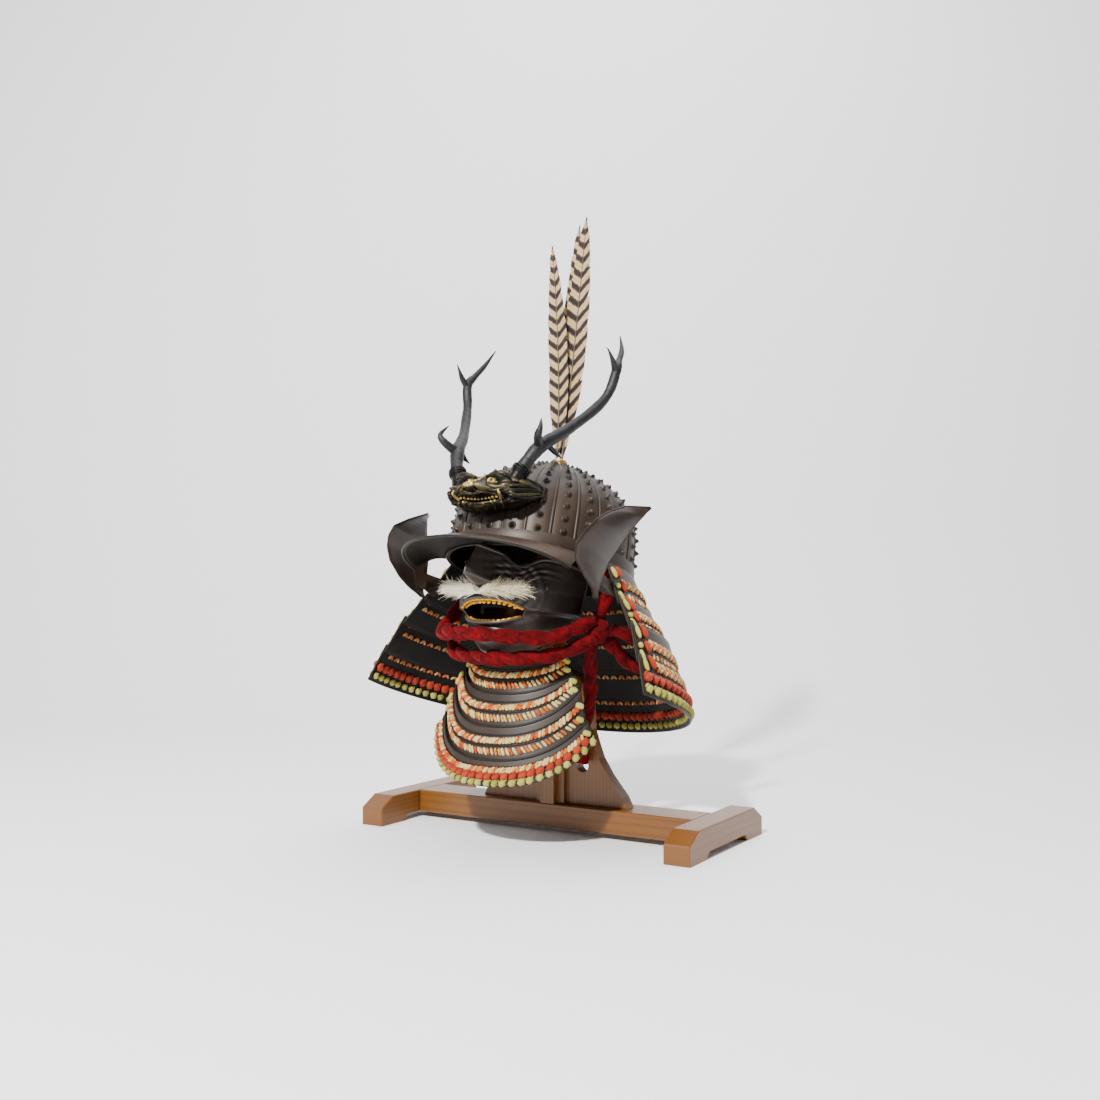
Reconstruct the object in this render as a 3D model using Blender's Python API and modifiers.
"""Studded samurai helmet with face guard and throat guard, on its wooden stand.

Metres, +Z up. The face looks to -Y and the wearer's left is at +X. The helmet's
own pieces are laid out in a frame that is pitched with it, nose up.
"""
import math

import bmesh
import bpy
from mathutils import Vector

NAME = "kabuto_helmet"
CLEARANCE = 0.0003

# Stand
STAND_WIDTH = 0.480
FOOT_WIDTH = 0.034
FOOT_LENGTH = 0.220
FOOT_HEIGHT = 0.0376
FOOT_CHAMFER_DROP = 0.0143
FOOT_CHAMFER_RUN = 0.025
FOOT_PAD_LENGTH = 0.0477
FOOT_ARCH = 0.008
EDGE_ROUND = 0.0012
BEAM_FRONT = 0.0287
BEAM_BACK = 0.026
BEAM_BOTTOM = 0.0079
BOARD_FOOT_WIDTH = 0.217
BOARD_HEIGHT = 0.172
BOARD_FRONT = 0.012
BOARD_THICKNESS = 0.018
BOARD_HOLE_RADIUS = 0.009
BOARD_HOLE_SIDE = 0.0435
BOARD_HOLE_HEIGHT = 0.050
POST_WIDTH = 0.040
POST_SHOULDER = 0.007
POST_RIDGE_WIDTH = 0.020
POST_RIDGE_DEPTH = 0.016
POST_HEIGHT = 0.380
PERCH_THICKNESS = 0.014
PERCH_NECK_RADIUS = 0.026
REST_WIDTH = 0.012
REST_HEIGHT = 0.018
REST_REACH = 0.084
REST_ARM = 0.0605
REST_ARM_PLACE = 0.050
REST_DROP = 0.127

# Helmet frame: the middle of the bowl's rim, pitched nose up
HELMET_FORWARD = 0.038
HELMET_SEAT = 0.030
HELMET_HEIGHT = POST_HEIGHT - HELMET_SEAT
HELMET_PITCH = math.radians(15)

POST_FOOT = FOOT_HEIGHT + CLEARANCE
PERCH_LEVEL = 7

# Bowl
BOWL_HALF_WIDTH = 0.116
BOWL_HALF_LENGTH = 0.1265
BOWL_FORWARD = 0.0035
BOWL_CROWN_BACK = 0.009
BOWL_RIM_DROP = 0.015
BOWL_HEIGHT = 0.146
BOWL_WALL = 0.0022
BOWL_HOLE_RADIUS = 0.010
PLATE_COUNT = 24
RIB_HEIGHT = 0.0011
RIB_WIDTH = 0.0030
STUD_ROWS = 9
STUD_RADIUS = 0.0036
STUD_HEIGHT = 0.0050

# Visor
VISOR_HALF_WIDTH = 0.113
VISOR_REACH = 0.214
VISOR_ROOT = 0.100
VISOR_DROP = 0.029
VISOR_END_DROP = 0.012
VISOR_WALL = 0.0018
VISOR_WRAP = math.radians(62)

# Neck guard
NECK_DROP = 0.170
NECK_SPREAD = 0.081
NECK_BACK_SPREAD = 0.092
NECK_BACK_DROP = 0.013
NECK_WRAP = math.radians(105.5)
NECK_WALL = 0.0018
NECK_OVERLAP = 0.009
NECK_GAP = 0.0008
LACE_HEIGHT = 0.0040
BAND_END = 0.15
BAND_GAP = 0.0006

# Turnbacks
TURN_HEIGHT = 0.122
TURN_REACH = 0.110
TURN_SPREAD = 0.043
TURN_WALL = 0.0018
ARM_LEVELS = (0.45, 0.65, 0.85)
ARM_LAP = math.radians(4)
ARM_INSET = 0.0012
TURN_BULGE = 0.004

# Throat guard, in the stand's frame
THROAT_WALL = 0.0018
THROAT_GAP = 0.0012
THROAT_OVERLAP = 0.008
THROAT_TOP = HELMET_HEIGHT - 0.123
THROAT_DROP = 0.144
THROAT_CORNER_TOP = THROAT_TOP + 0.013
THROAT_CORNER_DROP = 0.103
THROAT_FRONT = 0.130
THROAT_FLARE = 0.037
THROAT_HALF_WIDTH = 0.109
THROAT_CORNER_BACK = 0.0655
THROAT_WRAP = math.radians(62)

# Face guard, in the helmet's frame
MASK_WALL = 0.0022
MASK_HALF_WIDTH = 0.080
MASK_DEPTH = 0.103
MASK_BACK = 0.015
MASK_TOP = 0.021
MASK_CHIN = 0.1434
EYE_DIP = 0.017
NOSE_LENGTH = 0.048
MOUTH_HALF_WIDTH = 0.047
MOUTH_TOP = 0.079
MOUTH_GAP = 0.027
TOOTH_LENGTH = 0.006
TOOTH_ROOT = 0.001
TEETH_SET_BACK = 0.0015
WHISKER_SPAN = 0.066
WHISKER_THICKNESS = 0.007
WHISKER_DROP = 0.0752
WHISKER_RISE = 0.006

# Crest, antlers and plume, in the helmet's frame
CREST_HALF_WIDTH = 0.050
CREST_FACE = 0.6
CREST_MANE = 0.038
CREST_TOP = 0.069
CREST_BOTTOM = 0.027
CREST_DEPTH = 0.048
CREST_TUCK = 0.020
CREST_CHIN = 0.006
CREST_EDGE = 0.003
ANTLER_BASE_RADIUS = 0.0080
ANTLER_SIDES = 6
SOCKET_RADIUS = 0.0100
SOCKET_HEIGHT = 0.013
QUILL_RADIUS = 0.0016
FEATHER_WIDTH = 0.0185
FEATHER_THICKNESS = 0.0022

# Chin rope
KNOT_RADIUS = 0.0170
ROPE_RADIUS = 0.0092
ROPE_SIDES = 8
BEND_MARGIN = 1.15

COLOURS = {
    "lacquer": ((0.115, 0.088, 0.080), 0.45, 0.35),
    "dark_lacquer": ((0.030, 0.026, 0.025), 0.38, 0.30),
    "bronze": ((0.090, 0.085, 0.060), 0.42, 0.80),
    "antler_black": ((0.018, 0.020, 0.024), 0.55, 0.10),
    "brass": ((0.60, 0.45, 0.14), 0.35, 0.90),
    "gilt": ((0.85, 0.60, 0.08), 0.30, 0.90),
    "silk_mixed": ((0.75, 0.50, 0.22), 0.70, 0.00),
    "silk_orange": ((0.86, 0.16, 0.02), 0.65, 0.00),
    "silk_lime": ((0.56, 0.60, 0.20), 0.65, 0.00),
    "crimson": ((0.36, 0.008, 0.010), 0.80, 0.00),
    "hair": ((0.74, 0.68, 0.50), 0.75, 0.00),
    "feather": ((0.50, 0.38, 0.20), 0.75, 0.00),
    "pine": ((0.62, 0.40, 0.18), 0.50, 0.00),
}


# Small helpers

def clear_scene():
    for thing in list(bpy.data.objects):
        bpy.data.objects.remove(thing)


def material(name):
    found = bpy.data.materials.get(name)
    if found:
        return found
    colour, roughness, metallic = COLOURS[name]
    made = bpy.data.materials.new(name)
    made.use_nodes = True
    shader = made.node_tree.nodes["Principled BSDF"]
    shader.inputs["Base Color"].default_value = (*colour, 1.0)
    shader.inputs["Roughness"].default_value = roughness
    shader.inputs["Metallic"].default_value = metallic
    return made


def collection(name):
    made = bpy.data.collections.new(name)
    bpy.context.scene.collection.children.link(made)
    return made


def blend(low, high, share):
    return low + (high - low) * share


def table_value(table, key, column=1):
    """Read a column of a table whose first column rises, in straight steps."""
    for row, following in zip(table, table[1:]):
        if key <= following[0]:
            share = max(0.0, (key - row[0]) / (following[0] - row[0]))
            return blend(row[column], following[column], share)
    return table[-1][column]


def add_object(name, mesh, colour, smooth=40):
    thing = bpy.data.objects.new(name, mesh)
    mesh.materials.append(material(colour))
    parts.objects.link(thing)
    mesh.shade_smooth()
    mesh.set_sharp_from_angle(angle=math.radians(smooth))
    return thing


def mesh_from(name, bm):
    mesh = bpy.data.meshes.new(name)
    bm.to_mesh(mesh)
    bm.free()
    return mesh


def grid_faces(bm, rows, wrap=False):
    """Quads between rows of vertices, which run left to right and top to bottom."""
    for upper, lower in zip(rows, rows[1:]):
        count = len(upper)
        for i in range(count if wrap else count - 1):
            j = (i + 1) % count
            bm.faces.new((upper[i], lower[i], lower[j], upper[j]))


def sheet(name, rows, wall, colour, hole=None):
    """An open surface through rows of points, thickened behind its face.

    A hole names the row and the columns that are left open."""
    bm = bmesh.new()
    made = [[bm.verts.new(point) for point in row] for row in rows]
    grid_faces(bm, made)
    if hole:
        row, first, last = hole
        bm.faces.ensure_lookup_table()
        across = len(rows[0]) - 1
        gone = [bm.faces[row * across + column] for column in range(first, last)]
        bmesh.ops.delete(bm, geom=gone, context="FACES")
    thing = add_object(name, mesh_from(name, bm), colour)
    solid = thing.modifiers.new("wall", "SOLIDIFY")
    solid.thickness = wall
    solid.offset = -1.0
    return thing


def loft(name, rings, colour, smooth=40):
    """A closed body through rings of points that turn the same way."""
    bm = bmesh.new()
    made = [[bm.verts.new(point) for point in ring] for ring in rings]
    grid_faces(bm, made, wrap=True)
    bm.faces.new(made[0])
    bm.faces.new(reversed(made[-1]))
    bmesh.ops.recalc_face_normals(bm, faces=bm.faces)
    return add_object(name, mesh_from(name, bm), colour, smooth)


def outline_slab(name, outline, thickness, colour, round_edge=0.0):
    """A flat outline in its own XY plane, extruded both ways, as a mesh."""
    curve = bpy.data.curves.new(name + "_outline", "CURVE")
    curve.dimensions = "2D"
    curve.fill_mode = "BOTH"
    curve.extrude = thickness / 2
    for loop in outline:
        spline = curve.splines.new("POLY")
        spline.points.add(len(loop) - 1)
        for point, (x, y) in zip(spline.points, loop):
            point.co = (x, y, 0.0, 1.0)
        spline.use_cyclic_u = True
    guide = bpy.data.objects.new(name + "_guide", curve)
    mesh = mesh_of_curve(guide)
    thing = add_object(name, mesh, colour, smooth=25)
    if round_edge:
        bevel = thing.modifiers.new("round", "BEVEL")
        bevel.width = round_edge
        bevel.limit_method = "ANGLE"
    return thing


def mesh_of_curve(guide):
    bpy.context.scene.collection.objects.link(guide)
    graph = bpy.context.evaluated_depsgraph_get()
    mesh = bpy.data.meshes.new_from_object(guide.evaluated_get(graph))
    bpy.data.objects.remove(guide)
    bm = bmesh.new()
    bm.from_mesh(mesh)
    bmesh.ops.remove_doubles(bm, verts=bm.verts, dist=0.00001)
    bm.to_mesh(mesh)
    bm.free()
    return mesh


def smooth_path(points, steps):
    """Points along a smooth curve through the chosen ones (Catmull-Rom)."""
    ends = [points[0] * 2 - points[1]] + points + [points[-1] * 2 - points[-2]]
    path = []
    for i in range(len(points) - 1):
        a, b, c, d = ends[i:i + 4]
        for k in range(steps):
            t = k / steps
            path.append(0.5 * ((2 * b) + (c - a) * t + (2 * a - 5 * b + 4 * c - d) * t ** 2
                               + (3 * b - a - 3 * c + d) * t ** 3))
    path.append(points[-1])
    return path


def rings_along(path, radii, sides, squash=1.0):
    """Rings of points round a path; the frame is carried along without twist."""
    rings = []
    side = None
    for i, point in enumerate(path):
        ahead = (path[min(i + 1, len(path) - 1)] - path[max(i - 1, 0)]).normalized()
        if side is None:
            side = ahead.orthogonal().normalized()
        side = (side - ahead * side.dot(ahead)).normalized()
        up = ahead.cross(side)
        ring = []
        for k in range(sides):
            turn = 2 * math.pi * k / sides
            ring.append(point + (side * math.cos(turn) + up * math.sin(turn) * squash) * radii[i])
        rings.append(ring)
    return rings


def mitred_rings(path, radius, sides):
    """Rings of a bar made of straight lengths that meet on mitre planes, so every side is flat."""
    ways = [(path[i + 1] - path[i]).normalized() for i in range(len(path) - 1)]
    side = ways[0].orthogonal().normalized()
    up = ways[0].cross(side)
    ring = []
    for k in range(sides):
        turn = 2 * math.pi * (k + 0.5) / sides
        ring.append(path[0] + (side * math.cos(turn) + up * math.sin(turn)) * radius)
    rings = [ring]
    for i, way in enumerate(ways):
        after = ways[i + 1] if i + 1 < len(ways) else way
        plane = (way + after).normalized()
        ring = [p + way * ((path[i + 1] - p).dot(plane) / way.dot(plane)) for p in rings[-1]]
        rings.append(ring)
    return rings


def bend(path, i):
    """How far the route turns at a point, as the length the mitre takes per unit of radius."""
    if i == 0 or i == len(path) - 1:
        return 0.0
    turn = (path[i] - path[i - 1]).angle(path[i + 1] - path[i])
    return math.tan(turn / 2)


def eased(path, radius):
    """Drop points that stand too close for their bend, so the inner side never folds over."""
    path = list(path)
    while len(path) > 5:
        spare = []
        for i in range(len(path) - 1):
            length = (path[i + 1] - path[i]).length
            spare.append(length - BEND_MARGIN * radius * (bend(path, i) + bend(path, i + 1)))
        worst = spare.index(min(spare))
        if spare[worst] > 0.0008:
            break
        inner = [i for i in (worst, worst + 1) if 1 < i < len(path) - 2]
        if not inner:
            inner = [2 if worst < len(path) / 2 else len(path) - 3]
        gaps = {i: min((path[i] - path[i - 1]).length, (path[i + 1] - path[i]).length) for i in inner}
        path.pop(min(inner, key=lambda i: gaps[i]))
    return path


def rope(name, points, radius, colour, steps=3):
    """A round bar along a smooth route, with closed ends."""
    path = [points[0]] + smooth_path(points[1:-1], steps) + [points[-1]]
    path = eased(path, radius)
    return loft(name, mitred_rings(path, radius, ROPE_SIDES), colour, smooth=60)


def unite(base, extras):
    """Fuse the extras into the base and keep the base's name."""
    for index, extra in enumerate(extras):
        joint = base.modifiers.new("join_%d" % index, "BOOLEAN")
        joint.operation = "UNION"
        joint.object = extra
    graph = bpy.context.evaluated_depsgraph_get()
    mesh = bpy.data.meshes.new_from_object(base.evaluated_get(graph))
    base.modifiers.clear()
    base.data = mesh
    for extra in extras:
        bpy.data.objects.remove(extra)
    mesh.shade_smooth()
    mesh.set_sharp_from_angle(angle=math.radians(40))
    return base


def mirrored(points, side):
    return [Vector((p.x * side, p.y, p.z)) for p in points]


def on_helmet(things):
    for thing in things:
        thing.parent = helmet


# Stand

def foot(name, side):
    half = FOOT_LENGTH / 2
    pad = half - FOOT_PAD_LENGTH
    outline = [(-half, 0), (-pad, 0), (-pad + FOOT_ARCH, FOOT_ARCH), (pad - FOOT_ARCH, FOOT_ARCH),
               (pad, 0), (half, 0), (half, FOOT_HEIGHT - FOOT_CHAMFER_DROP),
               (half - FOOT_CHAMFER_RUN, FOOT_HEIGHT), (FOOT_CHAMFER_RUN - half, FOOT_HEIGHT),
               (-half, FOOT_HEIGHT - FOOT_CHAMFER_DROP)]
    thing = outline_slab(name, [outline], FOOT_WIDTH, "pine", EDGE_ROUND)
    thing.rotation_euler = (math.pi / 2, 0, math.pi / 2)
    thing.location.x = side * (STAND_WIDTH - FOOT_WIDTH) / 2
    return thing


def crossbeam():
    half = STAND_WIDTH / 2 - FOOT_WIDTH - CLEARANCE
    outline = [(-BEAM_FRONT, BEAM_BOTTOM), (BEAM_BACK, BEAM_BOTTOM),
               (BEAM_BACK, FOOT_HEIGHT), (-BEAM_FRONT, FOOT_HEIGHT)]
    thing = outline_slab("crossbeam", [outline], 2 * half, "pine", EDGE_ROUND)
    thing.rotation_euler = (math.pi / 2, 0, math.pi / 2)
    return thing


# share of the board's height, share of its half width at the foot
BOARD_SIDE = ((0.00, 1.00), (0.08, 0.94), (0.16, 0.83), (0.23, 0.74), (0.35, 0.62), (0.45, 0.56),
              (0.56, 0.50), (0.72, 0.49), (0.82, 0.48), (0.89, 0.43), (0.955, 0.33), (1.00, 0.18))


def back_board():
    half = BOARD_FOOT_WIDTH / 2
    right = [(half * wide, BOARD_HEIGHT * up) for up, wide in BOARD_SIDE]
    outline = right + [(-x, y) for x, y in reversed(right)]
    middle = (BOARD_HOLE_SIDE, BOARD_HOLE_HEIGHT)
    hole = [(middle[0] + BOARD_HOLE_RADIUS * math.cos(-2 * math.pi * k / 12),
             middle[1] + BOARD_HOLE_RADIUS * math.sin(-2 * math.pi * k / 12)) for k in range(12)]
    thing = outline_slab("back_board", [outline, hole], BOARD_THICKNESS, "pine")
    thing.rotation_euler.x = math.pi / 2
    thing.location = (0, -BOARD_FRONT + BOARD_THICKNESS / 2, FOOT_HEIGHT + CLEARANCE)
    return thing


def front_post():
    """The ridged upright in front of the board, which carries the helmet's perch."""
    half, ridge = POST_WIDTH / 2, POST_RIDGE_WIDTH / 2
    outline = [(-half, 0), (-half, -POST_SHOULDER), (-ridge, -POST_SHOULDER),
               (-ridge, -POST_RIDGE_DEPTH), (ridge, -POST_RIDGE_DEPTH), (ridge, -POST_SHOULDER),
               (half, -POST_SHOULDER), (half, 0)]
    thing = outline_slab("front_post", [outline], POST_HEIGHT, "pine")
    thing.location = (0, -BOARD_FRONT - CLEARANCE, POST_FOOT + POST_HEIGHT / 2)
    return thing


def mask_rest():
    """The bar on the upright that reaches into the face guard, with the arm its cheeks lie on."""
    half, arm = REST_WIDTH / 2, REST_ARM
    near, far = -REST_ARM_PLACE + half, -REST_ARM_PLACE - half
    outline = [(-half, 0), (-half, near), (-arm, near), (-arm, far), (-half, far), (-half, -REST_REACH),
               (half, -REST_REACH), (half, far), (arm, far), (arm, near), (half, near), (half, 0)]
    thing = outline_slab("mask_rest", [outline], REST_HEIGHT, "pine")
    back = -BOARD_FRONT - POST_RIDGE_DEPTH - 2 * CLEARANCE
    thing.location = (0, back, POST_FOOT + POST_HEIGHT - REST_DROP - REST_HEIGHT / 2)
    return thing


def perch():
    """The wooden head on the upright that fills the top of the bowl's hollow."""
    level = bowl_levels(STUD_ROWS + 1)[PERCH_LEVEL]
    turns = [2 * math.pi * (k + 0.5) / PLATE_COUNT for k in range(PLATE_COUNT)]
    snug = -BOWL_WALL - 2 * CLEARANCE
    top = [bowl_point(level, turn, snug) for turn in turns]
    low = [point - Vector((0, 0, PERCH_THICKNESS)) for point in top]
    tilted = [[helmet.matrix_world @ point for point in ring] for ring in (top, low)]
    post_middle = -BOARD_FRONT - CLEARANCE - POST_RIDGE_DEPTH / 2
    neck = [Vector((PERCH_NECK_RADIUS * math.sin(turn), post_middle - PERCH_NECK_RADIUS * math.cos(turn),
                    POST_FOOT + POST_HEIGHT + CLEARANCE)) for turn in turns]
    return loft("helmet_perch", tilted + [neck], "pine")


# Bowl

# share of the bowl's height above its rim, share of its half width and length
BOWL_PROFILE = ((0.00, 1.000), (0.20, 1.000), (0.38, 0.985), (0.55, 0.930), (0.685, 0.820),
                (0.80, 0.660), (0.90, 0.440), (0.965, 0.230), (1.00, 0.080))


def bowl_ring(up, swell=0.0):
    """Half width, half length, middle and height of the bowl at a share of its height."""
    share = table_value(BOWL_PROFILE, up)
    middle = blend(-BOWL_FORWARD, BOWL_CROWN_BACK - BOWL_FORWARD, up ** 2)
    height = BOWL_HEIGHT * up - BOWL_RIM_DROP
    return BOWL_HALF_WIDTH * share + swell, BOWL_HALF_LENGTH * share + swell, middle, height


def bowl_point(up, turn, swell=0.0):
    """A point of the bowl; turn 0 faces the front, and swell moves it outward."""
    wide, long, middle, height = bowl_ring(up, swell)
    return Vector((wide * math.sin(turn), middle - long * math.cos(turn), height))


def bowl_levels(count):
    """Shares of height that part the bowl's side into bands of equal length."""
    samples = [k / 400 for k in range(401)]
    points = [bowl_point(up, 0) for up in samples]
    reach = [0.0]
    for a, b in zip(points, points[1:]):
        reach.append(reach[-1] + (b - a).length)
    top = next(i for i, p in enumerate(points) if -p.y - BOWL_FORWARD < BOWL_HOLE_RADIUS * 2.4)
    levels = []
    for k in range(count + 1):
        goal = reach[top] * k / count
        levels.append(samples[min(range(401), key=lambda i: abs(reach[i] - goal))])
    return levels + [1.0]


def bowl():
    bm = bmesh.new()
    bands = STUD_ROWS + 1
    levels = bowl_levels(bands)
    step = 2 * math.pi / PLATE_COUNT
    outer = []
    for up in reversed(levels):
        wide = bowl_ring(up)[0]
        foot_turn = min(RIB_WIDTH / wide, step * 0.3)
        ring = []
        for plate in range(PLATE_COUNT):
            turn = plate * step + step / 2
            ring.append(bm.verts.new(bowl_point(up, turn, RIB_HEIGHT)))
            ring.append(bm.verts.new(bowl_point(up, turn + foot_turn)))
        outer.append(ring)
    inner = []
    for up in (levels[0], levels[bands // 2], levels[PERCH_LEVEL], levels[-1]):
        ring = []
        for plate in range(PLATE_COUNT):
            turn = plate * step + step / 2
            ring.append(bm.verts.new(bowl_point(up, turn, -BOWL_WALL)))
            ring.append(bm.verts.new(bowl_point(up, turn + step / 2, -BOWL_WALL)))
        inner.append(ring)
    grid_faces(bm, outer + inner + outer[:1], wrap=True)
    bm.faces.ensure_lookup_table()
    around = 2 * PLATE_COUNT
    studded = []
    for band in range(STUD_ROWS):
        for plate in range(PLATE_COUNT):
            studded.append(bm.faces[(band + 1) * around + 2 * plate + 1])
    for face in studded:
        raise_stud(bm, face)
    bmesh.ops.recalc_face_normals(bm, faces=bm.faces)
    thing = add_object("bowl", mesh_from("bowl", bm), "lacquer", smooth=25)
    return thing


def raise_stud(bm, face):
    """A four-sided stud in the middle of a plate's face."""
    middle = face.calc_center_median()
    face.normal_update()
    normal = face.normal.copy()
    if normal.dot(middle - Vector((0, 0, 0.02))) < 0:
        normal.negate()
    bmesh.ops.inset_individual(bm, faces=[face], thickness=0.0001)
    side = (face.verts[0].co - face.verts[1].co).normalized()
    across = normal.cross(side)
    reach = min(STUD_RADIUS, 0.36 * min(edge.calc_length() for edge in face.edges))
    for vert in face.verts:
        offset = vert.co - middle
        vert.co = middle + (side * math.copysign(reach, offset.dot(side))
                            + across * math.copysign(reach, offset.dot(across))) * 0.85
    tip = bmesh.ops.poke(bm, faces=[face])["verts"][0]
    tip.co = middle + normal * STUD_HEIGHT * reach / STUD_RADIUS


# Visor

def visor():
    stations = 18
    rows = []
    for depth in (0.0, 0.35, 0.7, 1.0):
        row = []
        for k in range(stations + 1):
            share = 2 * k / stations - 1
            root = bowl_point(0.02, share * VISOR_WRAP, VISOR_WALL + 2 * CLEARANCE)
            turn = share * math.radians(84)
            cosine = math.cos(turn) ** 0.87
            edge = Vector((VISOR_HALF_WIDTH * math.sin(turn),
                           -VISOR_ROOT - (VISOR_REACH - VISOR_ROOT) * cosine,
                           -VISOR_DROP - VISOR_END_DROP * share * share))
            arch = 0.006 * math.sin(math.pi * depth)
            row.append(root.lerp(edge, depth) + Vector((0, 0, arch)))
        rows.append(row)
    return sheet("visor", rows, VISOR_WALL, "lacquer")


# Neck guard

# each lame's lower edge: share of the drop, share of the spread
NECK_LAMES = ((0.37, 0.374), (0.553, 0.637), (0.782, 0.835), (1.000, 1.000))
NECK_STATIONS = 20


def neck_point(drop, spread, turn, swell=0.0):
    """A point of the neck guard; turn 0 faces the back."""
    wide = BOWL_HALF_WIDTH + NECK_SPREAD * spread + swell
    long = BOWL_HALF_LENGTH + NECK_BACK_SPREAD * spread + swell
    height = -(NECK_DROP + NECK_BACK_DROP * (1 + math.cos(turn)) / 2) * drop
    return Vector((wide * math.sin(turn), long * math.cos(turn) - BOWL_FORWARD, height))


def neck_edges(number):
    """Drop and spread at the top and the bottom of one lame, with its outward shift."""
    low_drop, low_spread = NECK_LAMES[number]
    if number == 0:
        return 0.06, 0.0, low_drop, low_spread, RIB_HEIGHT + NECK_WALL + 2 * CLEARANCE
    over = NECK_OVERLAP / NECK_DROP
    up_drop, up_spread, last_drop, last_spread, shift = neck_edges(number - 1)
    above = (last_spread - up_spread) / (last_drop - up_drop)
    here = (low_spread - last_spread) / (low_drop - last_drop)
    spread = last_spread - over * min(above, here)
    return last_drop - over, spread, low_drop, low_spread, shift + NECK_WALL + NECK_GAP


def neck_turns():
    return [NECK_WRAP * (2 * k / NECK_STATIONS - 1) for k in range(NECK_STATIONS + 1)]


def neck_lame(number):
    top_drop, top_spread, low_drop, low_spread, shift = neck_edges(number)
    rows = []
    for drop, spread in ((top_drop, top_spread), (low_drop, low_spread)):
        rows.append([neck_point(drop, spread, turn, shift) for turn in reversed(neck_turns())])
    return sheet("neck_lame_%d" % (number + 1), rows, NECK_WALL, "lacquer")


def shortened(stations):
    """The same stations with both end ones drawn in, so a band stops short of its lame's ends."""
    first = blend(stations[0], stations[1], BAND_END)
    last = blend(stations[-1], stations[-2], BAND_END)
    return [first] + stations[1:-1] + [last]


def band_rings(place, stations, low, high, height):
    """Four-sided rings of a band; place(share down, station, outward) gives its points."""
    rings = []
    for station in stations:
        rings.append([place(low, station, BAND_GAP), place(blend(low, high, 0.2), station, height),
                      place(blend(low, high, 0.8), station, height), place(high, station, BAND_GAP)])
    return rings


def neck_band(name, number, low, high, colour):
    """A band of lacing on the outside of one lame, between two shares of its depth."""
    top_drop, top_spread, low_drop, low_spread, shift = neck_edges(number)

    def place(share, turn, outward):
        drop = blend(top_drop, low_drop, share)
        spread = blend(top_spread, low_spread, share)
        return neck_point(drop, spread, turn, shift + outward)

    turns = shortened(neck_turns())
    return loft(name, band_rings(place, turns, low, high, LACE_HEIGHT), colour)


# Turnbacks

# share of the height, then forward and outward shares of the front edge and of the rear edge
TURN_EDGES = ((0.00, 0.350, 0.047, 0.300, 0.047), (0.06, 0.520, 0.210, 0.320, 0.110),
              (0.13, 0.720, 0.233, 0.310, 0.150), (0.25, 0.945, 0.210, 0.280, 0.160),
              (0.38, 1.000, 0.279, 0.255, 0.230), (0.51, 0.945, 0.419, 0.215, 0.380),
              (0.65, 0.827, 0.535, 0.175, 0.560), (0.79, 0.591, 0.512, 0.130, 0.740),
              (0.95, 0.245, 0.558, 0.050, 0.960), (1.00, 0.020, 1.000, 0.000, 1.000))
TURN_REAR = 0.038
TURN_INSET = 0.125
TURN_LOW = 0.067


def turn_place(up, share, inward=0.0):
    """A point of the left turnback: share 0 is its front edge and 1 its rear edge."""
    edges = [table_value(TURN_EDGES, up, column) for column in range(1, 5)]
    forward = blend(edges[0], edges[2], share)
    outward = blend(edges[1], edges[3], share)
    bulge = TURN_BULGE * math.sin(math.pi * share) * (1 if up < 0.9 else 0.2)
    return Vector((TURN_INSET + TURN_SPREAD * outward + bulge - inward,
                   -TURN_REAR - TURN_REACH * forward, TURN_HEIGHT * up - TURN_LOW))


def turnback(name, side):
    rows = [mirrored([turn_place(row[0], share) for share in (0.0, 0.33, 0.67, 1.0)], side)
            for row in reversed(TURN_EDGES)]
    if side < 0:
        rows = [list(reversed(row)) for row in rows]
    return sheet(name, rows, TURN_WALL, "lacquer")


def turnback_arm(name, side):
    """The leaf beside the face that joins the neck guard's top lame to the turnback."""
    top_drop, top_spread, low_drop, low_spread, shift = neck_edges(0)
    rows = []
    for share in ARM_LEVELS:
        drop, spread = blend(top_drop, low_drop, share), blend(top_spread, low_spread, share)
        row = [neck_point(drop, spread, NECK_WRAP + lap, shift - NECK_WALL - ARM_INSET)
               for lap in (-ARM_LAP, ARM_LAP / 2)]
        up = (row[0].z + TURN_LOW) / TURN_HEIGHT
        row += [turn_place(up, along, TURN_WALL + ARM_INSET) for along in (1.0, 0.67)]
        rows.append(mirrored(row, side))
    if side > 0:
        rows = [list(reversed(row)) for row in rows]
    return sheet(name, rows, TURN_WALL, "lacquer")


# Throat guard

# each lame's upper edge: share of the drop at the middle, at the corners, of the spread
THROAT_EDGES = ((0.00, 0.00, 0.60), (0.260, 0.225, 0.69), (0.525, 0.418, 0.79),
                (0.790, 0.777, 0.88), (1.000, 1.000, 1.00))
THROAT_STATIONS = 14


def throat_point(level, across, swell=0.0):
    """A point of the throat guard's sheet; level counts the lames from the top."""
    row = min(int(level), len(THROAT_EDGES) - 2)
    part = level - row
    here, following = THROAT_EDGES[row], THROAT_EDGES[row + 1]
    middle, corner, spread = (blend(a, b, part) for a, b in zip(here, following))
    half = THROAT_HALF_WIDTH * spread
    front = THROAT_FRONT + THROAT_FLARE * middle
    turn = across * THROAT_WRAP
    bend = spread * (1 - math.cos(turn)) / (1 - math.cos(THROAT_WRAP))
    lift = abs(across) ** 2.6
    low = THROAT_TOP - THROAT_DROP * middle
    high = THROAT_CORNER_TOP - THROAT_CORNER_DROP * corner
    outward = Vector((math.sin(turn), -math.cos(turn), -0.12))
    x = half * math.sin(turn) / math.sin(THROAT_WRAP)
    return Vector((x, -front + THROAT_CORNER_BACK * bend, blend(low, high, lift))) + outward * swell


def throat_acrosses():
    return [2 * k / THROAT_STATIONS - 1 for k in range(THROAT_STATIONS + 1)]


def throat_shift(number):
    return number * (THROAT_WALL + THROAT_GAP)


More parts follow.
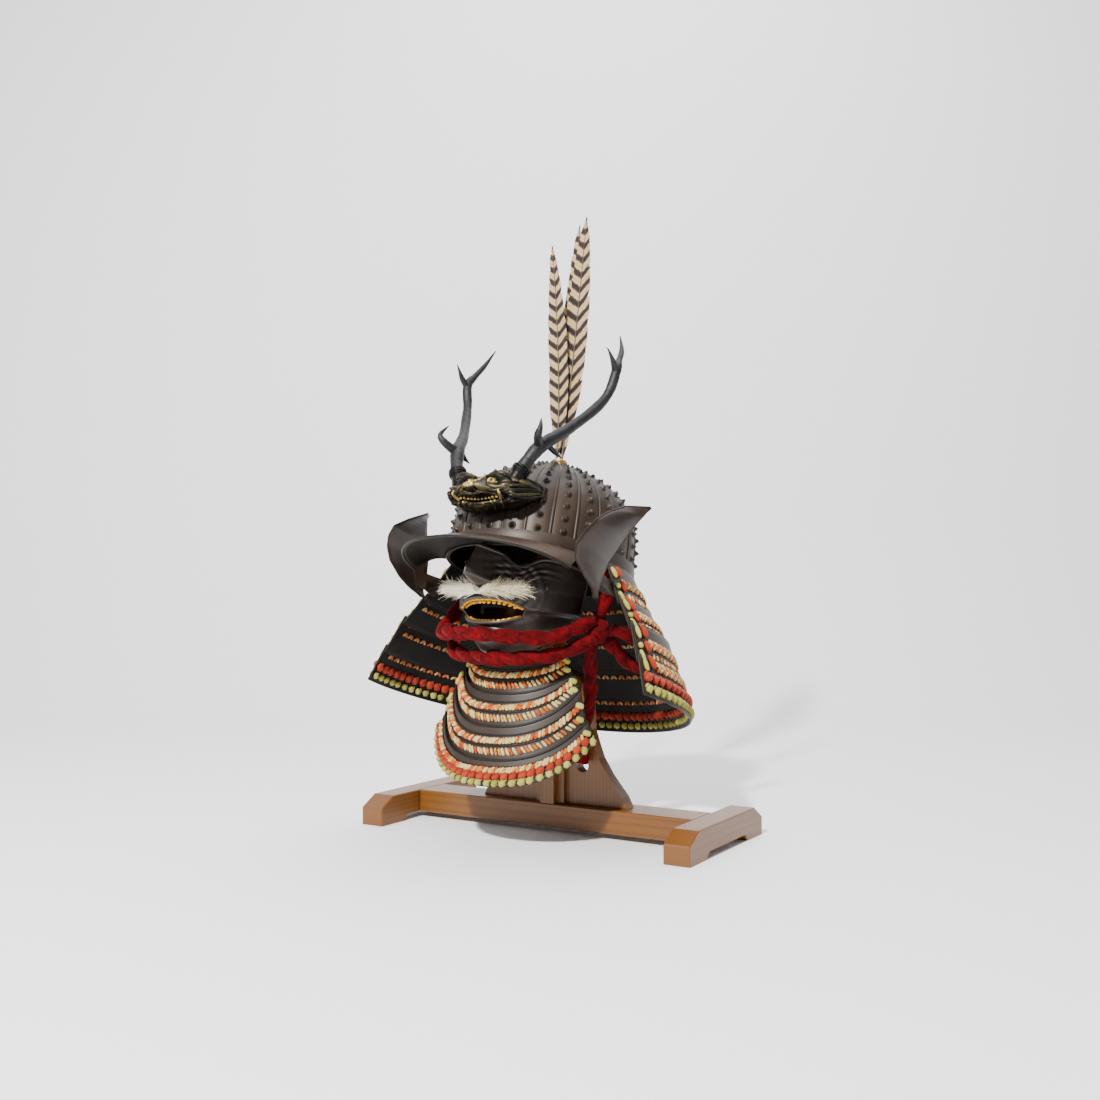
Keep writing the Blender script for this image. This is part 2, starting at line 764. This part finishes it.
def throat_lame(number):
    over = 0.0 if number == 3 else THROAT_OVERLAP / (THROAT_DROP * 0.26)
    shift = throat_shift(number)
    rows = []
    for share in (0.0, 0.5, 1.0):
        level = number + share * (1 + over)
        rows.append([throat_point(level, across, shift) for across in throat_acrosses()])
    return sheet("throat_lame_%d" % (number + 1), rows, THROAT_WALL, "lacquer")


def throat_band(name, number, low, high, colour):
    def place(share, across, outward):
        return throat_point(number + share, across, throat_shift(number) + outward)

    stations = shortened(throat_acrosses())
    return loft(name, band_rings(place, stations, low, high, LACE_HEIGHT), colour)


# Face guard

# depth below the rim plane as a share of the chin's, half width share, depth share, nose share
MASK_ROWS = ((0.15, 1.00, 0.97, 0.66), (0.26, 1.00, 0.98, 0.82), (0.33, 0.99, 0.99, 0.94),
             (0.41, 0.98, 1.00, 1.00), (0.455, 0.97, 1.01, 0.55), (0.485, 0.96, 1.01, 0.10),
             (0.57, 0.95, 0.99, 0.06), (0.765, 0.84, 0.93, 0.00), (0.83, 0.78, 0.87, 0.04),
             (0.91, 0.66, 0.80, 0.06), (0.985, 0.52, 0.66, 0.00), (1.00, 0.40, 0.42, 0.00))
MASK_ACROSS = (0.0, 0.07, 0.15, 0.25, 0.36, 0.46, 0.56, 0.70, 0.85, 1.0)
MOUTH_ROW = 6
MOUTH_END = 5


def mask_point(row, across, swell=0.0):
    deep, wide, long, nose = MASK_ROWS[row]
    turn = across * math.pi / 2
    half = MASK_HALF_WIDTH * wide
    x = half * math.sin(turn)
    rise = abs(across) ** 1.6 * 0.24 * deep
    z = -MASK_CHIN * (deep - rise)
    if row == 0:
        z = -MASK_TOP - EYE_DIP * math.exp(-((abs(across) - 0.30) / 0.13) ** 2)
    if row in (MOUTH_ROW, MOUTH_ROW + 1):
        closing = max(0.0, 1 - (abs(x) / (MOUTH_HALF_WIDTH * 1.02)) ** 3)
        middle = -MOUTH_TOP - MOUTH_GAP / 2 + 0.016 * abs(across) ** 1.6
        half_gap = 0.0012 + MOUTH_GAP / 2 * closing
        z = middle + (half_gap if row == MOUTH_ROW else -half_gap)
    bump = NOSE_LENGTH * nose * math.exp(-(x / 0.0135) ** 2)
    y = -MASK_BACK - MASK_DEPTH * long * math.cos(turn) - bump
    out = Vector((math.sin(turn), -math.cos(turn), 0))
    return Vector((x, y, z)) + out * swell


def mask_face():
    rows = []
    for row in range(len(MASK_ROWS)):
        left = [mask_point(row, -across) for across in reversed(MASK_ACROSS[1:])]
        right = [mask_point(row, across) for across in MASK_ACROSS]
        rows.append(left + right)
    middle = len(MASK_ACROSS) - 1
    hole = (MOUTH_ROW, middle - MOUTH_END, middle + MOUTH_END)
    return sheet("mask_face", rows, MASK_WALL, "dark_lacquer", hole)


def teeth(name, row, direction, set_back):
    """A scalloped strip inside the lips, standing into the mouth."""
    count = 14
    rings = []
    for k in range(count + 1):
        across = 0.40 * (2 * k / count - 1)
        lip = mask_at(row, across, -MASK_WALL - set_back)
        length = TOOTH_LENGTH * (1.0 if k % 2 else 0.7)
        thick = Vector((0, 0.0014, 0))
        up = Vector((0, 0, -direction * TOOTH_ROOT))
        tip = Vector((0, 0, direction * length))
        rings.append([lip + up, lip + tip, lip + tip + thick, lip + up + thick])
    return loft(name, rings, "gilt")


def mask_at(row, across, swell):
    """Like mask_point, between the chosen columns, on the straight faces of the mask."""
    size = abs(across)
    for a, b in zip(MASK_ACROSS, MASK_ACROSS[1:]):
        if size <= b:
            share = (size - a) / (b - a)
            sign = 1 if across >= 0 else -1
            return mask_point(row, a * sign, swell).lerp(mask_point(row, b * sign, swell), share)
    return mask_point(row, across, swell)


# sideways share of a lock's root, of its tip, rise of its tip
WHISKER_LOCKS = ((0.15, 0.38, -0.010), (0.35, 0.60, 0.011), (0.52, 0.80, -0.007),
                 (0.66, 1.04, 0.007))


def moustache():
    count = 10
    rings = []
    for k in range(count + 1):
        share = 2 * k / count - 1
        thick = WHISKER_THICKNESS * (1 - 0.85 * abs(share) ** 2.5)
        rings.append(whisker_ring(share, thick))
    base = loft("moustache", rings, "hair")
    extras = []
    for number, (root, tip, rise) in enumerate(WHISKER_LOCKS):
        for side in (-1, 1):
            start = whisker_middle(root * side)
            end = whisker_middle(tip * side) + Vector((0, -0.004, rise))
            spike = rings_along([start, end], [0.0034, 0.0006], 4)
            extras.append(loft("lock_%d_%d" % (number, side), spike, "hair"))
    return unite(base, extras)


def whisker_middle(share):
    forward = MASK_BACK + MASK_DEPTH + 0.62 * NOSE_LENGTH * 0.16 + WHISKER_THICKNESS - 0.0003
    bow = 0.012 * abs(share) ** 1.5
    return Vector((WHISKER_SPAN * share, -forward - bow, WHISKER_RISE * abs(share) - WHISKER_DROP))


def whisker_ring(share, thick):
    middle = whisker_middle(share)
    ring = []
    for k in range(6):
        turn = 2 * math.pi * k / 6
        ring.append(middle + Vector((0, math.cos(turn) * thick * 0.6, math.sin(turn) * thick)))
    return ring


# Crest

def crest_bulge(across, up):
    """How far the beast's head stands out of the bowl, as a share of its depth."""
    side = max(0.0, abs(across) - CREST_FACE) / (1 - CREST_FACE)
    head = 0.66 * (1 - side ** 0.8) * (1 - abs(1.8 * up - 0.9) ** 4)
    snout = 0.34 * math.exp(-((across / 0.24) ** 2) - ((up - 0.42) / 0.20) ** 2)
    brow = 0.16 * math.exp(-(((abs(across) - 0.32) / 0.16) ** 2) - ((up - 0.78) / 0.12) ** 2)
    mouth = -0.22 * math.exp(-((across / 0.42) ** 2) - ((up - 0.20) / 0.08) ** 2)
    return max(0.05, head + snout + brow + mouth)


def crest_place(across, up, outward):
    side = max(0.0, abs(across) - CREST_FACE) / (1 - CREST_FACE)
    middle = 1 - min(abs(across) / CREST_FACE, 1.0)
    low = CREST_BOTTOM + CREST_TUCK * side - CREST_CHIN * middle
    high = CREST_TOP - CREST_TUCK / 2 * side
    level = (blend(low, high, up) + BOWL_RIM_DROP) / BOWL_HEIGHT
    reach = CREST_HALF_WIDTH * min(abs(across) / CREST_FACE, 1.0) + CREST_MANE * side
    turn = math.copysign(reach / (BOWL_HALF_WIDTH + CREST_DEPTH), across)
    return bowl_point(level, turn, outward)


def crest_head():
    bm = bmesh.new()
    columns, ups = 16, 8
    stand_off = STUD_HEIGHT + CLEARANCE
    front, back = [], []
    for j in range(ups + 1):
        up = 1 - j / ups
        front_row, back_row = [], []
        for i in range(columns + 1):
            across = 2 * i / columns - 1
            outward = stand_off + CREST_EDGE + CREST_DEPTH * crest_bulge(across, up)
            front_row.append(bm.verts.new(crest_place(across, up, outward)))
            back_row.append(bm.verts.new(crest_place(across, up, stand_off)))
        front.append(front_row)
        back.append(back_row)
    grid_faces(bm, front)
    grid_faces(bm, [list(reversed(row)) for row in back])
    rim_front = front[0] + [row[-1] for row in front[1:]] + front[-1][-2::-1] + \
        [row[0] for row in front[-2:0:-1]]
    rim_back = back[0] + [row[-1] for row in back[1:]] + back[-1][-2::-1] + \
        [row[0] for row in back[-2:0:-1]]
    grid_faces(bm, [rim_back, rim_front], wrap=True)
    bmesh.ops.recalc_face_normals(bm, faces=bm.faces)
    head = add_object("crest_head", mesh_from("crest_head", bm), "bronze")
    bosses = [horn_boss(side) for side in (-1, 1)]
    return unite(head, bosses)


def horn_boss(side):
    """The round seat that an antler stands on, in line with its stem."""
    root, following = smooth_path([Vector(row[:3]) for row in ANTLER_BEAM], 2)[:2]
    stem = (following - root).normalized()
    path = mirrored([root - stem * 0.022, root - stem * CLEARANCE], side)
    radius = ANTLER_BASE_RADIUS * ANTLER_BEAM[0][3] + 0.0012
    return loft("horn_boss_%d" % side, rings_along(path, [radius, radius], 8), "bronze")


# Antlers: route points across, forward and up in the helmet's frame, and share of the base radius
ANTLER_BEAM = ((0.047, -0.147, 0.073, 1.05), (0.052, -0.145, 0.084, 1.00), (0.062, -0.134, 0.107, 1.10),
               (0.078, -0.107, 0.136, 0.85), (0.097, -0.082, 0.171, 0.80), (0.107, -0.071, 0.197, 0.75),
               (0.113, -0.070, 0.226, 0.80), (0.110, -0.062, 0.242, 0.55), (0.105, -0.050, 0.263, 0.40),
               (0.096, -0.043, 0.287, 0.08))
ANTLER_TINES = (((0.060, -0.137, 0.103, 0.80), (0.068, -0.155, 0.110, 0.62),
                 (0.073, -0.160, 0.119, 0.40), (0.068, -0.153, 0.133, 0.08)),
                ((0.064, -0.128, 0.110, 0.55), (0.067, -0.112, 0.105, 0.38),
                 (0.068, -0.098, 0.103, 0.08)),
                ((0.112, -0.070, 0.222, 0.60), (0.1145, -0.083, 0.232, 0.42),
                 (0.113, -0.099, 0.244, 0.08)))


def antler(name, side):
    def branch(label, rows, steps):
        path = smooth_path(mirrored([Vector(row[:3]) for row in rows], side), steps)
        radii = [ANTLER_BASE_RADIUS * table_value([(k, row[3]) for k, row in enumerate(rows)],
                                                  i / steps) for i in range(len(path))]
        return loft(label, rings_along(path, radii, ANTLER_SIDES), "antler_black")

    beam = branch(name, ANTLER_BEAM, 2)
    tines = [branch("%s_tine_%d" % (name, k), rows, 2) for k, rows in enumerate(ANTLER_TINES)]
    return unite(beam, tines)


# Plume

def crown():
    """The middle of the bowl's top, where the plume's socket stands."""
    return bowl_point(1.0, 0.0).lerp(bowl_point(1.0, math.pi), 0.5)


def plume_socket():
    base = crown().z - 0.004
    profile = [(SOCKET_RADIUS * 0.70, SOCKET_HEIGHT), (SOCKET_RADIUS, SOCKET_HEIGHT * 0.93),
               (SOCKET_RADIUS * 0.82, SOCKET_HEIGHT * 0.55), (SOCKET_RADIUS * 1.35, 0.006),
               (SOCKET_RADIUS * 1.25, 0.0042), (SOCKET_RADIUS * 0.55, 0.0042),
               (SOCKET_RADIUS * 0.55, SOCKET_HEIGHT)]
    rings = []
    for radius, height in profile + profile[:1]:
        rings.append([(radius * math.cos(2 * math.pi * k / 12), radius * math.sin(2 * math.pi * k / 12),
                       height) for k in range(12)])
    bm = bmesh.new()
    made = [[bm.verts.new(point) for point in ring] for ring in rings[:-1]]
    grid_faces(bm, made + made[:1], wrap=True)
    bmesh.ops.recalc_face_normals(bm, faces=bm.faces)
    thing = add_object("plume_socket", mesh_from("plume_socket", bm), "brass", smooth=20)
    thing.location = (crown().x, crown().y, base)
    return thing


# lean of the tip to the side and backwards, length, turn of the blade in degrees, share of the width
FEATHERS = ((-0.031, -0.040, 0.308, -12, 0.95), (-0.004, -0.030, 0.343, -12, 1.10),
            (0.012, -0.042, 0.344, -12, 1.20))
# each quill's place in the socket, across and back
FEATHER_SEATS = ((-0.0025, -0.0028), (0.0000, 0.0034), (0.0034, 0.0000))
# share of the length, share of the width
FEATHER_BLADE = ((0.00, 0.12), (0.03, 0.14), (0.10, 0.45), (0.20, 0.85), (0.35, 1.00),
                 (0.60, 0.92), (0.80, 0.62), (0.93, 0.34), (1.00, 0.05))


def feather(number):
    side, back, length, twist, width = FEATHERS[number]
    seat = crown() + Vector(FEATHER_SEATS[number] + (0.001,))
    rings = []
    turn = math.radians(twist)
    across = Vector((math.cos(turn), math.sin(turn), 0))
    through = Vector((-math.sin(turn), math.cos(turn), 0))
    for up, wide in FEATHER_BLADE:
        lean = up ** 1.4
        middle = seat + Vector((side * lean, back * lean, length * up))
        half = max(FEATHER_WIDTH * width / 2 * wide, 0.0010)
        thick = max(FEATHER_THICKNESS / 2 * (1 - 0.8 * up), 0.0004)
        if up < 0.05:
            half = thick = QUILL_RADIUS * 0.9
        rings.append([middle + across * half, middle + through * thick,
                      middle - across * half, middle - through * thick])
    return loft("feather_%d" % (number + 1), rings, "feather")


# Chin rope: routes chosen by hand, in the stand's frame, heights from the helmet's rim
ROPE_KNOT = (0.104, -0.078, -0.086)
ROPE_UPPER = ((-0.1050, -0.050, -0.014), (-0.104, -0.068, -0.050), (-0.100, -0.104, -0.076),
              (-0.085, -0.141, -0.089), (-0.047, -0.171, -0.088), (0.000, -0.181, -0.088),
              (0.045, -0.173, -0.091), (0.080, -0.142, -0.091), (0.1022, -0.0903, -0.0737))
ROPE_SIDE = ((0.1050, -0.050, -0.014), (0.106, -0.058, -0.042), (0.1022, -0.0718, -0.0696))
ROPE_LOWER = ((-0.096, -0.098, -0.096), (-0.083, -0.1178, -0.1068), (-0.058, -0.1458, -0.1142),
              (0.002, -0.1662, -0.1178), (0.047, -0.1545, -0.1165), (0.080, -0.126, -0.1115),
              (0.1058, -0.0931, -0.0948))
ROPE_LOOP = ((0.1215, -0.0762, -0.0842), (0.140, -0.052, -0.094), (0.144, -0.030, -0.114),
             (0.134, -0.020, -0.134), (0.116, -0.034, -0.122), (0.1084, -0.0639, -0.0957))
ROPE_TAIL = ((0.0934, -0.0798, -0.0999), (0.082, -0.060, -0.134), (0.072, -0.042, -0.170),
             (0.060, -0.034, -0.206), (0.053, -0.025, -0.238), (0.048, -0.0215, -0.256))
ROPE_STEPS = 2


def chin_rope():
    routes = {"chin_rope_upper": ROPE_UPPER, "chin_rope_side": ROPE_SIDE,
              "chin_rope_lower": ROPE_LOWER, "chin_rope_loop": ROPE_LOOP, "chin_rope_tail": ROPE_TAIL}
    rim = Vector((0, 0, HELMET_HEIGHT))
    middle = Vector(ROPE_KNOT) + rim
    for name, route in routes.items():
        points = [Vector(point) + rim for point in route]
        for end in (0, -1):
            away = points[end] - middle
            if away.length < 1.2 * KNOT_RADIUS:
                away.normalize()
                points[end] = middle + away * (KNOT_RADIUS + 2 * CLEARANCE)
                nearer = middle + away * (KNOT_RADIUS + 1.2 * ROPE_RADIUS)
                points.insert(1 if end == 0 else len(points) - 1, nearer)
        rope(name, points, ROPE_RADIUS, "crimson", ROPE_STEPS)
    rings = []
    for k in range(7):
        turn = math.pi * (0.08 + 0.84 * k / 6)
        wide, up = KNOT_RADIUS * math.sin(turn), KNOT_RADIUS * math.cos(turn)
        rings.append([middle + Vector((wide * math.cos(2 * math.pi * j / 12),
                                       wide * math.sin(2 * math.pi * j / 12), up)) for j in range(12)])
    loft("chin_rope_knot", rings, "crimson")


# Assembly

def build_stand():
    foot("foot_left", 1)
    foot("foot_right", -1)
    crossbeam()
    back_board()
    front_post()
    mask_rest()
    perch()


def build_helmet():
    on_helmet([bowl(), visor()])
    on_helmet([turnback_arm("turnback_arm_left", 1), turnback_arm("turnback_arm_right", -1)])
    for number in range(4):
        on_helmet([neck_lame(number)])
        if number < 3:
            on_helmet([neck_band("neck_lace_%d" % (number + 1), number, 0.30, 0.60, "silk_mixed")])
    on_helmet([neck_band("neck_knots_orange", 3, 0.42, 0.66, "silk_orange")])
    on_helmet([neck_band("neck_knots_lime", 3, 0.70, 0.94, "silk_lime")])
    on_helmet([turnback("turnback_left", 1), turnback("turnback_right", -1)])
    on_helmet([mask_face(), teeth("upper_teeth", MOUTH_ROW, -1, CLEARANCE),
               teeth("lower_teeth", MOUTH_ROW + 1, 1, TEETH_SET_BACK), moustache()])
    on_helmet([crest_head(), antler("antler_left", 1), antler("antler_right", -1)])
    on_helmet([plume_socket()])
    on_helmet([feather(number) for number in range(3)])


def build_throat_guard():
    for number in range(4):
        throat_lame(number)
        throat_band("throat_braid_%d" % (number + 1), number, 0.30, 0.56, "silk_mixed")
        if number < 3:
            throat_band("throat_loops_%d" % (number + 1), number, 0.64, 0.90, "silk_mixed")
    throat_band("throat_knots_orange", 3, 0.60, 0.76, "silk_orange")
    throat_band("throat_knots_lime", 3, 0.78, 0.94, "silk_lime")


def centre_on_origin():
    """Move the whole so that the middle of its box stands over the origin."""
    bpy.context.view_layer.update()
    graph = bpy.context.evaluated_depsgraph_get()
    fronts, backs = [], []
    for thing in parts.objects:
        if thing.type != "MESH":
            continue
        solid = thing.evaluated_get(graph)
        reach = [(thing.matrix_world @ vert.co).y for vert in solid.data.vertices]
        fronts.append(min(reach))
        backs.append(max(reach))
    shift = -(min(fronts) + max(backs)) / 2
    for thing in parts.objects:
        if thing.parent is None:
            thing.location.y += shift
    return shift


clear_scene()
parts = collection(NAME)
helmet = bpy.data.objects.new("helmet_frame", None)
parts.objects.link(helmet)
helmet.location = (0, -HELMET_FORWARD, HELMET_HEIGHT)
helmet.rotation_euler.x = -HELMET_PITCH
bpy.context.view_layer.update()
build_stand()
build_helmet()
build_throat_guard()
chin_rope()
centre_on_origin()
bpy.context.view_layer.update()
